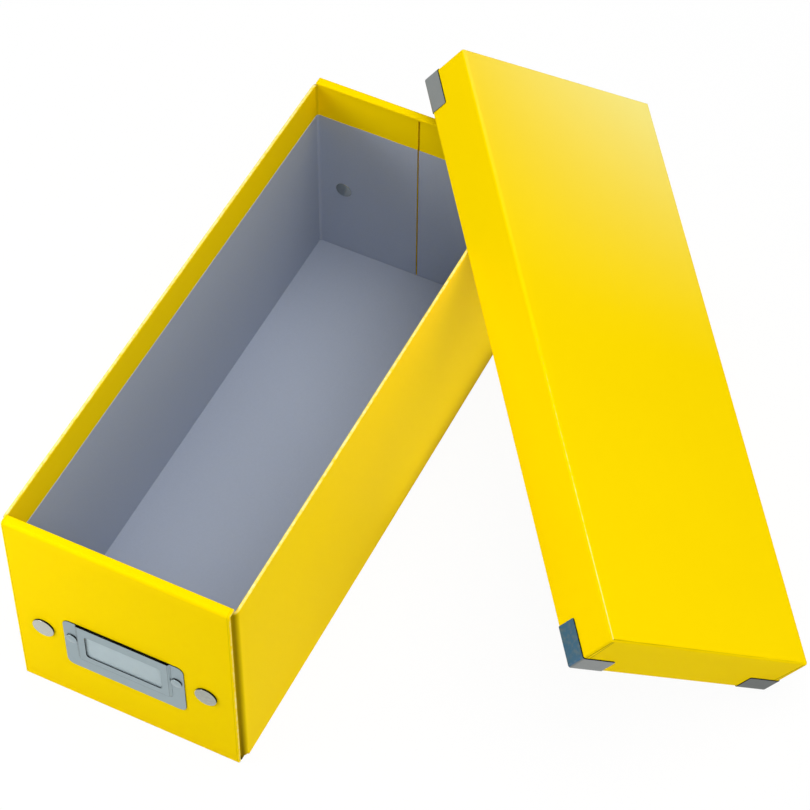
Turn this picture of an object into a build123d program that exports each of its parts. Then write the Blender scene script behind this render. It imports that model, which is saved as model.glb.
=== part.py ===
"""Rigid board storage box for discs, open, with its lift-off lid leaning on it.

The frame's origin is the middle of the box's footprint on the table. X runs to the
right, Y from the front panel to the back panel, and Z up. Lengths are in millimetres
and angles in degrees.

The box is a folding one. The long walls end in flaps that fold in behind each end
panel, and press studs clip the panel to them. The front panel carries a stamped
label holder with a card, and the lid has sheet metal corners on its rim.
"""

import math
import os

from build123d import *

# Box body
BODY_WIDTH = 132.0  # over the outer faces of the long walls
BODY_DEPTH = 346.0  # from the front panel's face to the back panel's face
WALL_HEIGHT = 132.0  # from the table to the rim of the long walls
BOARD = 2.0  # wrapped greyboard, cover paper included
LINING = 0.3  # lining paper
RIM_ROUND = 0.9  # cover paper turned over the edge of a board
FLAP_BEVEL = 0.6  # the same on a flap's top edge
BASE_FOLD_ROUND = 1.2  # fold between the base and a wall
LINING_DROP = 23.5  # band of cover paper turned in below the rim

# End panels, with the lip that folds in over the flaps
LIP_DEPTH = 6.0  # from the panel's face to the lip's inner edge
LIP_ROUND = 2.2  # outside of the fold between panel and lip
LIP_CLEAR = 0.3  # between the flaps' top edge and the lip
PANEL_EDGE_BEVEL = 0.5  # upright edges of a panel
FOLD_CLEAR = 0.3  # between a panel and the edge of the base board

# Flaps behind the end panels
FLAP_GAP = 1.0  # room for the press studs between panel and flap
FOLD_RADIUS = 4.0  # outside of the fold between long wall and flap
FLAP_JOINT = 1.0  # between the two flaps, in the middle of the box

# Press studs
STUD_INSET = 16.6  # from the panel's upright edge to a stud
STUD_HEIGHT = 53.4  # above the table
CAP_RADIUS = 6.25
CAP_RISE = 1.4  # height of the domed cap on the panel
CAP_EDGE = 0.5  # thickness of the cap's edge
BARREL_RADIUS = 2.8  # hollow barrel of the cap, through the panel
BARREL_WALL = 0.7
BALL_RADIUS = 1.8  # ball of the post, which snaps into the socket
BALL_SEAT = 1.2  # from the flap's face to the ball's centre
BALL_CLEAR = 0.1  # radial, between the ball and the socket's bore
TIP_CLEAR = 0.3  # between the ball's tip and the bottom of the barrel
SOCKET_RADIUS = 5.2
SOCKET_FLANGE = 0.7
SHANK_RADIUS = 1.9  # post's shank, through the flap
SHANK_CLEAR = 0.1
POST_FLANGE_RADIUS = 5.0
POST_FLANGE = 0.8  # thickness of the post's flange inside the box
ROUND_STEPS = 2  # straight steps along a small dome or ball, which keep its faces few

# Label holder, stamped from sheet metal, and its card
HOLDER_WIDTH = 70.0
HOLDER_BOTTOM = 30.5  # above the table
HOLDER_TOP = 69.0
HOLDER_ROUND = 4.0
HOLDER_SHEET = 0.5
POCKET_WIDTH = 55.0
POCKET_BOTTOM = 38.8  # above the table
POCKET_RISE = 1.6  # from the panel to the front of the pocket
POCKET_SLOPE_ANGLE = 25.0  # lean of the pocket's pressed sides
POCKET_ROUND = 3.0
WINDOW_WIDTH = 44.4
WINDOW_BOTTOM = 44.5  # above the table
WINDOW_TOP = 62.4
WINDOW_ROUND = 2.8
CARD_SHEET = 0.35
CARD_SIDE_CLEAR = 0.5
CARD_TOP_DROP = 1.2  # from the holder's top to the card's top
RIVET_SPACING = 61.2
RIVET_HEIGHT = 54.7  # above the table
RIVET_RADIUS = 3.15
RIVET_RISE = 0.95
RIVET_SHANK = 1.2
RIVET_TAIL_RADIUS = 2.1
RIVET_TAIL = 0.5

# Lid, in its own upright frame: rim at the bottom, near end at Y = 0
LID_WIDTH = 143.0
LID_LENGTH = 352.0
LID_HEIGHT = 33.5
LID_TOP_ROUND = 1.9
LID_CORNER_ROUND = 1.0

# Sheet metal corners on the lid's rim
CORNER_LEG = 22.0
CORNER_HEIGHT = 11.5
CORNER_SHEET = 0.5
CORNER_RETURN = 4.0  # height of the sheet turned up inside the rim
CORNER_END_ROUND = 1.0

# How the lid leans: one rim corner stands on the table, one rim edge on the box
LEAN_TURN_ANGLE = 37.96  # about the vertical
LEAN_PITCH_ANGLE = 11.8  # rise along the lid's length
LEAN_ROLL_ANGLE = 36.27  # drop from its left rim to its right rim
LEAN_CROSSING = 93.5  # where the lid's rim crosses the box's rim, from the middle
LEAN_CLEAR = 0.3  # between the two rims there

# Places that follow from the sizes above
FRONT = -BODY_DEPTH / 2
WALL_INNER = BODY_WIDTH / 2 - BOARD
PANEL_WIDTH = 2 * WALL_INNER
STUD_X = PANEL_WIDTH / 2 - STUD_INSET
LIP_UNDER = WALL_HEIGHT + LIP_CLEAR
LIP_TOP = LIP_UNDER + BOARD
FLAP_OUTER = BOARD + FLAP_GAP
FLAP_INNER = FLAP_OUTER + BOARD
FOLD_START = FLAP_OUTER + FOLD_RADIUS
LINING_TOP = WALL_HEIGHT - LINING_DROP
SIDE_HEIGHT = LID_HEIGHT - BOARD


def block(x0, x1, y0, y1, z0, z1):
    """Box between two corners."""
    middle = Pos((x0 + x1) / 2, (y0 + y1) / 2, (z0 + z1) / 2)
    return middle * Box(x1 - x0, y1 - y0, z1 - z0)


def turned(*outline):
    """Solid turned about Y from the points of a closed outline of (radius, Y)."""
    return revolve(make_face(Polyline(*outline, close=True)), Axis.Y)


def stepped(arc):
    """Points of (radius, Y) along an arc that starts on the axis, its tip made flat."""
    points = [arc @ (step / ROUND_STEPS) for step in range(1, ROUND_STEPS + 1)]
    return [(0, points[0].Y)] + [(point.X, point.Y) for point in points]


def dome(height, foot_radius, foot):
    """Outline of a domed head, level at its middle, from the axis out to its foot."""
    arc = TangentArc((0, height), (foot_radius, foot), tangent=(1, 0))
    return stepped(arc)


def upright_edges(solid, key):
    """Vertical edges of a solid, sorted by a function of their middle."""
    return solid.edges().filter_by(Axis.Z).sort_by(lambda edge: key(edge.center()))


def left_of(solid):
    return mirror(solid, about=Plane.YZ)


def back_of(solid):
    return mirror(solid, about=Plane.XZ)


def at_panel(solid, x, z):
    """Put a piece made about Y = 0 on the front panel's face."""
    return Pos(x, FRONT, z) * solid


def pair_at_panel(solid, x, z):
    """Two alike, one each side of the panel's middle."""
    return Compound(children=[at_panel(solid, side, z) for side in (-x, x)])


def stud_posts():
    """The four posts, two at each end of the box."""
    front = [at_panel(stud_post(), side, STUD_HEIGHT) for side in (-STUD_X, STUD_X)]
    return Compound(children=front + [back_of(post) for post in front])


# Base, long walls and flaps

def base_board():
    reach = BODY_DEPTH / 2 - BOARD - FOLD_CLEAR
    return block(-WALL_INNER, WALL_INNER, -reach, reach, 0, BOARD)


def right_wall():
    section = Pos(BODY_WIDTH / 2 - BOARD / 2, WALL_HEIGHT / 2) * Rectangle(BOARD, WALL_HEIGHT)
    rim = section.vertices().group_by(Axis.Y)[-1]
    section = fillet(rim, RIM_ROUND)
    foot = section.vertices().group_by(Axis.Y)[0].sort_by(Axis.X)[-1]
    section = fillet(foot, BASE_FOLD_ROUND)
    return extrude(Plane.XZ * section, BODY_DEPTH / 2 - FOLD_START, both=True)


def right_front_flap():
    """Flap with the rounded fold that joins it to the right wall."""
    corner_x = BODY_WIDTH / 2 - FOLD_RADIUS
    corner_y = FRONT + FOLD_START
    outer_y, inner_y = FRONT + FLAP_OUTER, FRONT + FLAP_INNER
    end_x = FLAP_JOINT / 2
    plan = make_face([
        Line((end_x, outer_y), (corner_x, outer_y)),
        CenterArc((corner_x, corner_y), FOLD_RADIUS, -90, 90),
        Line((BODY_WIDTH / 2, corner_y), (WALL_INNER, corner_y)),
        CenterArc((corner_x, corner_y), FOLD_RADIUS - BOARD, -90, 90),
        Line((corner_x, inner_y), (end_x, inner_y)),
        Line((end_x, inner_y), (end_x, outer_y)),
    ])
    flap = extrude(Pos(0, 0, BOARD) * plan, WALL_HEIGHT - BOARD)
    butt_edges = (end_x, corner_y)
    rim = [
        edge for edge in flap.faces().sort_by(Axis.Z)[-1].edges()
        if abs(edge.center().X - butt_edges[0]) > BOARD / 4
        and abs(edge.center().Y - butt_edges[1]) > BOARD / 4
    ]
    flap = chamfer(rim, FLAP_BEVEL)
    hole = Pos(STUD_X, FRONT + FLAP_OUTER, STUD_HEIGHT) * Rot(X=90)
    return flap - hole * Cylinder(SHANK_RADIUS + SHANK_CLEAR, 3 * BOARD)


# Lining papers

def floor_lining():
    """Sheet on the base, its corners rounded to the inside of the flaps' folds."""
    reach = BODY_DEPTH / 2 - FLAP_INNER
    sheet = block(-WALL_INNER, WALL_INNER, -reach, reach, BOARD, BOARD + LINING)
    return fillet(sheet.edges().filter_by(Axis.Z), FOLD_RADIUS - BOARD)


def right_lining():
    reach = BODY_DEPTH / 2 - FOLD_START
    return block(WALL_INNER - LINING, WALL_INNER, -reach, reach, BOARD + LINING, LINING_TOP)


def front_flap_linings():
    """One sheet on each of the two front flaps."""
    y = FRONT + FLAP_INNER
    end_x = BODY_WIDTH / 2 - FOLD_RADIUS
    sheet = block(FLAP_JOINT / 2, end_x, y, y + LINING, BOARD + LINING, LINING_TOP)
    hole = Pos(STUD_X, y, STUD_HEIGHT) * Rot(X=90)
    sheet -= hole * Cylinder(SHANK_RADIUS + SHANK_CLEAR, 3 * BOARD)
    return Compound(children=[sheet, left_of(sheet)])


# End panels

def end_panel(rivet_holes):
    """Front panel with its lip, drilled for the studs, and for the holder's rivets."""
    outline = Polyline(
        (0, 0), (BOARD, 0), (BOARD, LIP_UNDER), (LIP_DEPTH, LIP_UNDER),
        (LIP_DEPTH, LIP_TOP), (0, LIP_TOP), close=True,
    )
    section = make_face(outline)
    bends = (
        ((0, 0), BASE_FOLD_ROUND),
        ((LIP_DEPTH, LIP_UNDER), RIM_ROUND),
        ((LIP_DEPTH, LIP_TOP), RIM_ROUND),
        ((0, LIP_TOP), LIP_ROUND),
    )
    for place, radius in bends:
        section = fillet(section.vertices().sort_by_distance(place)[0], radius)
    panel = extrude(Plane.YZ * section, PANEL_WIDTH / 2, both=True)
    face_edges = upright_edges(panel, lambda middle: middle.Y)[:2]
    panel = Pos(0, FRONT, 0) * chamfer(face_edges, PANEL_EDGE_BEVEL)
    holes = [(STUD_X, STUD_HEIGHT, BARREL_RADIUS)]
    if rivet_holes:
        holes.append((RIVET_SPACING / 2, RIVET_HEIGHT, RIVET_SHANK))
    for x, z, radius in holes:
        for side in (-x, x):
            panel -= Pos(side, FRONT, z) * Rot(X=90) * Cylinder(radius, 3 * BOARD)
    return panel


# Press studs

def stud_cap():
    """Domed cap whose hollow barrel passes through the panel."""
    bore = BARREL_RADIUS - BARREL_WALL
    bottom = FLAP_OUTER - BALL_SEAT - BALL_RADIUS - TIP_CLEAR
    return turned(
        *dome(-CAP_RISE, CAP_RADIUS, -CAP_EDGE),
        (CAP_RADIUS, 0), (BARREL_RADIUS, 0), (BARREL_RADIUS, BOARD),
        (bore, BOARD), (bore, bottom), (0, bottom),
    )


def stud_socket():
    """Ring clenched round the end of the cap's barrel, on the panel's inner face."""
    bore, face = BALL_RADIUS + BALL_CLEAR, BOARD + SOCKET_FLANGE
    return turned((bore, BOARD), (SOCKET_RADIUS, BOARD), (SOCKET_RADIUS, face), (bore, face))


def stud_post():
    """Post with a ball, riveted through the flap with a flat flange inside the box."""
    neck = math.sqrt(BALL_RADIUS ** 2 - BALL_SEAT ** 2)
    centre = FLAP_OUTER - BALL_SEAT
    seat = FLAP_INNER + LINING
    tip = (0, centre - BALL_RADIUS)
    ball = ThreePointArc(tip, (BALL_RADIUS, centre), (neck, FLAP_OUTER))
    return turned(
        *stepped(ball), (SHANK_RADIUS, FLAP_OUTER), (SHANK_RADIUS, seat),
        (POST_FLANGE_RADIUS, seat), (POST_FLANGE_RADIUS, seat + POST_FLANGE),
        (0, seat + POST_FLANGE),
    )


# Label holder and card

def holder_sketch(width, bottom, top, radius, rounded_top=True):
    """Upright rectangle on the panel's face, with rounded corners."""
    outline = Pos(0, (bottom + top) / 2) * Rectangle(width, top - bottom)
    corners = outline.vertices() if rounded_top else outline.vertices().group_by(Axis.Y)[0]
    return Plane.XZ * fillet(corners, radius)


def label_holder():
    """Flat plate with a raised pocket, open at the top, and a window in its front."""
    plate = extrude(
        holder_sketch(HOLDER_WIDTH, HOLDER_BOTTOM, HOLDER_TOP, HOLDER_ROUND), HOLDER_SHEET
    )
    over_top = HOLDER_TOP + 2 * POCKET_RISE
    inner_width = POCKET_WIDTH - 2 * HOLDER_SHEET
    inner_bottom = POCKET_BOTTOM + HOLDER_SHEET
    outer = extrude(
        holder_sketch(POCKET_WIDTH, POCKET_BOTTOM, over_top, POCKET_ROUND, False),
        POCKET_RISE, taper=POCKET_SLOPE_ANGLE,
    )
    inner = extrude(
        holder_sketch(
            inner_width, inner_bottom, over_top + POCKET_RISE, POCKET_ROUND - HOLDER_SHEET, False
        ),
        POCKET_RISE - HOLDER_SHEET, taper=POCKET_SLOPE_ANGLE,
    )
    half = HOLDER_WIDTH / 2
    above = block(-half, half, -2 * POCKET_RISE, POCKET_RISE, HOLDER_TOP, 2 * HOLDER_TOP)
    window = extrude(
        holder_sketch(WINDOW_WIDTH, WINDOW_BOTTOM, WINDOW_TOP, WINDOW_ROUND), 2 * POCKET_RISE
    )
    holder = plate + outer - inner - above - window
    for side in (-RIVET_SPACING / 2, RIVET_SPACING / 2):
        hole = Pos(side, 0, RIVET_HEIGHT) * Rot(X=90)
        holder -= hole * Cylinder(RIVET_SHANK, 2 * POCKET_RISE)
    return holder


def holder_rivet():
    """Rivet through plate and panel, with a domed head and a spread tail."""
    return turned(
        *dome(-HOLDER_SHEET - RIVET_RISE, RIVET_RADIUS, -HOLDER_SHEET),
        (RIVET_SHANK, -HOLDER_SHEET), (RIVET_SHANK, BOARD), (RIVET_TAIL_RADIUS, BOARD),
        (RIVET_TAIL_RADIUS, BOARD + RIVET_TAIL), (0, BOARD + RIVET_TAIL),
    )


def label_card():
    """Paper card standing in the pocket, between the panel and the pocket's front."""
    slope_loss = POCKET_RISE * math.tan(math.radians(POCKET_SLOPE_ANGLE))
    width = POCKET_WIDTH - 2 * (HOLDER_SHEET + slope_loss + CARD_SIDE_CLEAR)
    bottom = POCKET_BOTTOM + HOLDER_SHEET + slope_loss
    room = POCKET_RISE - HOLDER_SHEET
    sketch = holder_sketch(width, bottom, HOLDER_TOP - CARD_TOP_DROP, POCKET_ROUND, False)
    return Pos(0, -(room - CARD_SHEET) / 2, 0) * extrude(sketch, CARD_SHEET)


# Lid, upright

def lid_top():
    half = LID_WIDTH / 2
    board = block(-half, half, 0, LID_LENGTH, SIDE_HEIGHT, LID_HEIGHT)
    board = fillet(board.edges().filter_by(Axis.Z), LID_CORNER_ROUND)
    return fillet(board.faces().sort_by(Axis.Z)[-1].edges(), LID_TOP_ROUND)


def lid_right_side():
    outer = LID_WIDTH / 2
    side = block(outer - BOARD, outer, 0, LID_LENGTH, 0, SIDE_HEIGHT)
    side = fillet(upright_edges(side, lambda middle: middle.X)[-2:], LID_CORNER_ROUND)
    return fillet(side.faces().sort_by(Axis.Z)[0].edges(), RIM_ROUND)


def lid_near_end():
    reach = LID_WIDTH / 2 - BOARD
    end = block(-reach, reach, 0, BOARD, 0, SIDE_HEIGHT)
    return fillet(end.edges().filter_by(Axis.X).group_by(Axis.Z)[0], RIM_ROUND)


def lid_lining():
    reach = LID_WIDTH / 2 - BOARD
    return block(-reach, reach, BOARD, LID_LENGTH - BOARD, SIDE_HEIGHT - LINING, SIDE_HEIGHT)


def lid_corner_right():
    """Sheet metal corner at the near right of the rim: two legs, turned up inside."""
    side, sheet = LID_WIDTH / 2, CORNER_SHEET
    inside, turned_in = side - BOARD, side - BOARD - sheet
    legs = block(side - CORNER_LEG, side + sheet, -sheet, CORNER_LEG, -sheet, CORNER_HEIGHT)
    top = legs.faces().sort_by(Axis.Z)[-1].edges()
    leg_ends = [top.sort_by(Axis.X)[0], top.sort_by(Axis.Y)[-1]]
    legs = fillet(leg_ends, CORNER_END_ROUND)
    legs = fillet(upright_edges(legs, lambda p: p.X - p.Y)[-1], LID_CORNER_ROUND + sheet)
    boards = block(0, side, 0, LID_LENGTH, 0, LID_HEIGHT)
    boards = fillet(upright_edges(boards, lambda p: p.X - p.Y)[-1], LID_CORNER_ROUND)
    boards -= block(0, inside, BOARD, LID_LENGTH, 0, LID_HEIGHT)
    cavity = block(0, turned_in, BOARD + sheet, LID_LENGTH, -2 * sheet, LID_HEIGHT)
    above_return = block(0, inside, BOARD, LID_LENGTH, CORNER_RETURN, LID_HEIGHT)
    return legs - boards - cavity - above_return


# Leaning the lid

LEAN = Rot(0, 0, LEAN_TURN_ANGLE) * Rot(LEAN_PITCH_ANGLE, 0, 0) * Rot(0, LEAN_ROLL_ANGLE, 0)


def leaning(x, y, z):
    """Where a point of the upright lid goes when it is turned, before it is moved."""
    return (LEAN * Pos(x, y, z)).position


def lid_place():
    """Stand the lid's near right corner on the table and its left rim on the box.

    The lowest point is on the rounded outside of the sheet metal corner. The lid's
    left rim crosses the box's right rim, and both are rounded, so the clearance is
    kept between the axes of the two rounds, along the line square to both.
    """
    across, along = leaning(1, 0, 0), leaning(0, 1, 0)
    radius = LID_CORNER_ROUND + CORNER_SHEET
    out = CORNER_SHEET - radius
    arc_centre = leaning(LID_WIDTH / 2 + out, -out, -CORNER_SHEET)
    lowest = arc_centre.Z - radius * math.hypot(across.Z, along.Z)
    rim_axis = leaning(BOARD - LID_WIDTH / 2 - RIM_ROUND, 0, RIM_ROUND)
    tilt = math.hypot(along.X, along.Z)
    square_x, square_z = along.Z / tilt, -along.X / tilt
    above_rim = rim_axis.Z - lowest - (WALL_HEIGHT - RIM_ROUND)
    beside_rim = (2 * RIM_ROUND + LEAN_CLEAR - above_rim * square_z) / square_x
    near_x = BODY_WIDTH / 2 - RIM_ROUND + beside_rim
    run = (BODY_WIDTH / 2 - near_x) / along.X
    near_y = LEAN_CROSSING - run * along.Y
    return Pos(near_x - rim_axis.X, near_y - rim_axis.Y, -lowest) * LEAN


def far_of(solid):
    """The same piece at the lid's far end."""
    return mirror(solid, about=Plane.XZ.offset(-LID_LENGTH / 2))


def box_nodes():
    """Pieces that stay with the box: base, walls, flaps, linings and back panel."""
    wall, flap, lining = right_wall(), right_front_flap(), front_flap_linings()
    side_lining = right_lining()
    caps = pair_at_panel(stud_cap(), STUD_X, STUD_HEIGHT)
    sockets = pair_at_panel(stud_socket(), STUD_X, STUD_HEIGHT)
    return {
        "base_board": base_board(),
        "right_wall": wall,
        "left_wall": left_of(wall),
        "right_front_flap": flap,
        "left_front_flap": left_of(flap),
        "right_back_flap": back_of(flap),
        "left_back_flap": left_of(back_of(flap)),
        "floor_lining": floor_lining(),
        "right_lining": side_lining,
        "left_lining": left_of(side_lining),
        "front_flap_linings": lining,
        "back_flap_linings": back_of(lining),
        "stud_posts": stud_posts(),
        "back_panel": back_of(end_panel(rivet_holes=False)),
        "back_stud_caps": back_of(caps),
        "back_stud_sockets": back_of(sockets),
    }


def front_nodes():
    """Pieces that swing with the front panel, and the card in its holder."""
    return {
        "front_panel": end_panel(rivet_holes=True),
        "front_stud_caps": pair_at_panel(stud_cap(), STUD_X, STUD_HEIGHT),
        "front_stud_sockets": pair_at_panel(stud_socket(), STUD_X, STUD_HEIGHT),
        "label_holder": at_panel(label_holder(), 0, 0),
        "holder_rivets": pair_at_panel(holder_rivet(), RIVET_SPACING / 2, RIVET_HEIGHT),
        "label_card": at_panel(label_card(), 0, 0),
    }


def lid_nodes():
    """The lid's boards, lining and metal corners, leaning on the box."""
    side, end, corner = lid_right_side(), lid_near_end(), lid_corner_right()
    nodes = {
        "lid_top": lid_top(),
        "lid_right_side": side,
        "lid_left_side": left_of(side),
        "lid_near_end": end,
        "lid_far_end": far_of(end),
        "lid_lining": lid_lining(),
        "lid_near_right_corner": corner,
        "lid_near_left_corner": left_of(corner),
        "lid_far_right_corner": far_of(corner),
        "lid_far_left_corner": left_of(far_of(corner)),
    }
    place = lid_place()
    return {name: place * solid for name, solid in nodes.items()}


def main():
    os.makedirs("parts", exist_ok=True)
    for nodes in (box_nodes(), front_nodes(), lid_nodes()):
        for name, solid in nodes.items():
            export_step(solid, f"parts/{name}.step")


main()
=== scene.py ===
"""Looks of a rigid board storage box, open, with its lift-off lid leaning on it.

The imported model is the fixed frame. Each operator below builds one piece, or one group
of like pieces, over the CAD nodes that it stands for. Lengths are in metres, X runs to
the right, Y from the front panel to the back panel, and Z up.
"""

import math

import bmesh
import bpy
from bpy.props import FloatProperty, FloatVectorProperty, PointerProperty
from bpy.types import Operator, Panel, PropertyGroup
from mathutils import Matrix, Vector


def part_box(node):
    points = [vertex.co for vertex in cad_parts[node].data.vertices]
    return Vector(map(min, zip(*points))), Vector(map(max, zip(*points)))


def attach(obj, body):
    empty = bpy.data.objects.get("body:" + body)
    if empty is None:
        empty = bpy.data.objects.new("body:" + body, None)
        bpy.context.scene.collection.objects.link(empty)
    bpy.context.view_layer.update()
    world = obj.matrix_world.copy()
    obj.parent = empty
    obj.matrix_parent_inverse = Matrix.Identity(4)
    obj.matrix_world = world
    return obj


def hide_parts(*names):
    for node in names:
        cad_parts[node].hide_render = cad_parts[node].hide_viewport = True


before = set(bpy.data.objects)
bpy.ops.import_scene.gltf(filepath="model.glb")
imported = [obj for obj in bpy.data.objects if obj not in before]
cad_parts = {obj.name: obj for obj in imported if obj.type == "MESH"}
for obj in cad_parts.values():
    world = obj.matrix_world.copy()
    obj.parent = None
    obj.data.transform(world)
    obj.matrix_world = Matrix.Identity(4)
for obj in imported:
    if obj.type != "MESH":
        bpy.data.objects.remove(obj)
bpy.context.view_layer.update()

bl_info = {
    "name": "Board storage box",
    "version": (1, 0, 0),
    "blender": (4, 5, 0),
    "location": "View3D > Sidebar > Storage box",
    "description": "Builds the looks of a board storage box over its CAD frame",
    "category": "Object",
}

MM = 0.001
WALL_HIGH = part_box("right_wall")[1]
PANEL_LOW, PANEL_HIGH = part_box("front_panel")
FLAP_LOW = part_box("right_front_flap")[0]
LINING_LOW, LINING_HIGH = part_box("right_lining")
LID_LINING_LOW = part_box("lid_lining")[0]
# Painted shade: below this share of its edge, a domed head is painted black for the shade in its
# turned-in edge
SHADED_UNDER = 0.86  # below this share of its edge, a domed head turns in and is dark


def linear(code):
    """Linear colour of an sRGB hex code such as #FFDD00."""
    channels = [int(code[place:place + 2], 16) / 255 for place in (1, 3, 5)]
    return tuple(c / 12.92 if c <= 0.04045 else ((c + 0.055) / 1.055) ** 2.4 for c in channels)


def length(default, name, description):
    return FloatProperty(name=name, description=description, default=default,
                         min=0.0, subtype="DISTANCE", unit="LENGTH")


def colour(code, name, description):
    return FloatVectorProperty(name=name, description=description, default=linear(code),
                               min=0.0, max=1.0, size=3, subtype="COLOR")


class BoardSizes(PropertyGroup):
    """Boards, papers and folds of the box and the lid."""
    board: length(2.0 * MM, "Board", "Thickness of the wrapped greyboard")
    rim_round: length(0.9 * MM, "Rim round", "Cover paper turned over a board's edge")
    base_round: length(1.2 * MM, "Base fold", "Radius of the fold between base and wall")
    fold_radius: length(4.0 * MM, "Flap fold", "Outside radius of the fold of a flap")
    lining: length(0.3 * MM, "Lining", "Thickness of the lining paper")
    lip_round: length(2.2 * MM, "Lip fold", "Outside radius of the fold of the lip")
    lid_top_round: length(2.2 * MM, "Lid edge", "Radius along the lid's top edges")
    lid_corner_round: length(1.0 * MM, "Lid corner", "Radius of the lid's upright corners")


class LidPlace(PropertyGroup):
    """Size of the lid, and how it leans on the box."""
    width: length(143.0 * MM, "Width", "Over the lid's long sides")
    depth: length(352.0 * MM, "Length", "Over the lid's ends")
    height: length(33.5 * MM, "Height", "From rim to top")
    turn: FloatProperty(name="Turn", description="About the vertical",
                        default=math.radians(37.96), subtype="ANGLE", unit="ROTATION")
    pitch: FloatProperty(name="Pitch", description="Rise along the lid's length",
                         default=math.radians(11.8), subtype="ANGLE", unit="ROTATION")
    roll: FloatProperty(name="Roll", description="Drop from its left rim to its right rim",
                        default=math.radians(36.27), subtype="ANGLE", unit="ROTATION")


class FittingSizes(PropertyGroup):
    """Press studs, rivets, label holder and the lid's metal corners."""
    sheet: length(0.5 * MM, "Sheet", "Thickness of the sheet steel")
    stud_x: length(47.4 * MM, "Stud place", "From the middle of the panel to a stud")
    stud_height: length(53.4 * MM, "Stud height", "Above the table")
    cap_radius: length(6.25 * MM, "Cap radius", "Domed cap of a press stud")
    cap_rise: length(1.4 * MM, "Cap rise", "Height of the cap on the panel")
    rivet_x: length(30.6 * MM, "Rivet place", "From the middle of the panel to a rivet")
    rivet_height: length(54.7 * MM, "Rivet height", "Above the table")
    rivet_radius: length(3.15 * MM, "Rivet radius", "Domed head of a rivet")
    rivet_rise: length(0.95 * MM, "Rivet rise", "Height of the head on the plate")
    cap_edge: length(1.22 * MM, "Cap edge", "Height of a cap's rolled edge")
    rivet_edge: length(0.64 * MM, "Rivet edge", "Height of a rivet head's edge")
    corner_leg: length(22.0 * MM, "Corner leg", "Length of a metal corner's leg")
    corner_height: length(11.5 * MM, "Corner height", "Height of a metal corner")
    corner_return: length(4.0 * MM, "Corner return", "Height of the sheet inside the rim")


class Colours(PropertyGroup):
    """Colours of the papers and metals."""
    cover: colour("#FFDB00", "Cover paper", "Laminated paper round the boards")
    worn: colour("#FFF4A6", "Worn edge", "Cover paper where a fold is rubbed")
    # Painted sheen: the paler cover paints the film's reflection on the far part of the lid's top
    painted_sheen: colour("#FFEE84", "Faded cover", "Cover paper that light has faded")
    lining: colour("#A7B0C2", "Lining paper", "Uncoated paper inside the box")
    card: colour("#AFC0C6", "Card", "Blank card in the label holder")
    holder: colour("#9CABB0", "Holder steel", "Nickel-plated label holder")
    corner: colour("#7E8281", "Corner steel", "Brushed steel corners of the lid")
    # Painted shade: a darker copy of the corner steel for the lid's near right corner
    shaded_copy: colour("#4B504E", "Dulled steel", "Brushed steel of the lid's near right corner")
    stud: colour("#BDBFB5", "Stud nickel", "Polished caps, sockets and posts")
    # Painted reflection: dark blue on the near left corner's long leg
    painted_reflection_and_shade: colour("#195A80", "Tarnish", "Blue film on a lid corner's long leg")
    # Dark lines at turned paper edges, and painted shade in the folds, a crease and the base's
    # open corners
    seam: colour("#7D6700", "Seam", "Edge of a turned paper, and the gum along it")
    floor: colour("#DCDCDC", "Floor", "Pale floor of the studio")


# Outlines

def arc(x, y, radius, start, end, steps=6):
    """Points on a circle from one angle to another, in degrees."""
    angles = [math.radians(start + (end - start) * step / steps) for step in range(steps + 1)]
    return [(x + radius * math.cos(a), y + radius * math.sin(a)) for a in angles]


def run(start, end, steps):
    """Points inside a straight run, without its two ends."""
    return [tuple(a + (b - a) * step / steps for a, b in zip(start, end))
            for step in range(1, steps)]


def rectangle(x0, x1, y0, y1, radius, steps=5, along=6):
    """Closed outline of a rectangle with rounded corners, anticlockwise."""
    corners = [(x1 - radius, y0 + radius, -90), (x1 - radius, y1 - radius, 0),
               (x0 + radius, y1 - radius, 90), (x0 + radius, y0 + radius, 180)]
    points = []
    for x, y, start in corners:
        turn = arc(x, y, radius, start, start + 90, steps)
        if points:
            points += run(points[-1], turn[0], along)
        points += turn
    return points + run(points[-1], points[0], along)


def shrunk(outline, distance):
    """The same closed outline, anticlockwise, moved inwards."""
    if distance < 1e-7:
        return outline
    moved = []
    for before, here, after in zip(outline[-1:] + outline[:-1], outline,
                                   outline[1:] + outline[:1]):
        normals = []
        for a, b in ((before, here), (here, after)):
            edge = Vector((b[0] - a[0], b[1] - a[1])).normalized()
            normals.append(Vector((-edge.y, edge.x)))
        mean = (normals[0] + normals[1]).normalized()
        reach = distance / max(mean.dot(normals[0]), 0.5)
        moved.append((here[0] + mean.x * reach, here[1] + mean.y * reach))
    return moved


# Meshes

def add_loft(mesh, rings, closed=True, capped=True, fan=False):
    """Skin between rings of points, with the first and the last ring filled.

    A flat end with points along its straight sides is filled by a fan from its middle.
    """
    rows = [[mesh.verts.new(point) for point in ring] for ring in rings]
    count = len(rows[0])
    for low, high in zip(rows, rows[1:]):
        for here in range(count if closed else count - 1):
            after = (here + 1) % count
            mesh.faces.new((low[here], low[after], high[after], high[here]))
    if fan:
        for row in (rows[0][::-1], rows[-1]):
            middle = mesh.verts.new(sum((vert.co for vert in row), Vector()) / count)
            for here in range(count):
                mesh.faces.new((middle, row[here], row[(here + 1) % count]))
    elif capped:
        mesh.faces.new(rows[0][::-1])
        mesh.faces.new(rows[-1])


def put_in_scene(name, data):
    """New object with this mesh, light or camera."""
    made = bpy.data.objects.new(name, data)
    bpy.context.scene.collection.objects.link(made)
    return made


def finished_mesh(name, mesh):
    """Mesh data from a bmesh, which is freed."""
    data = bpy.data.meshes.new(name)
    mesh.to_mesh(data)
    mesh.free()
    return data


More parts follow.
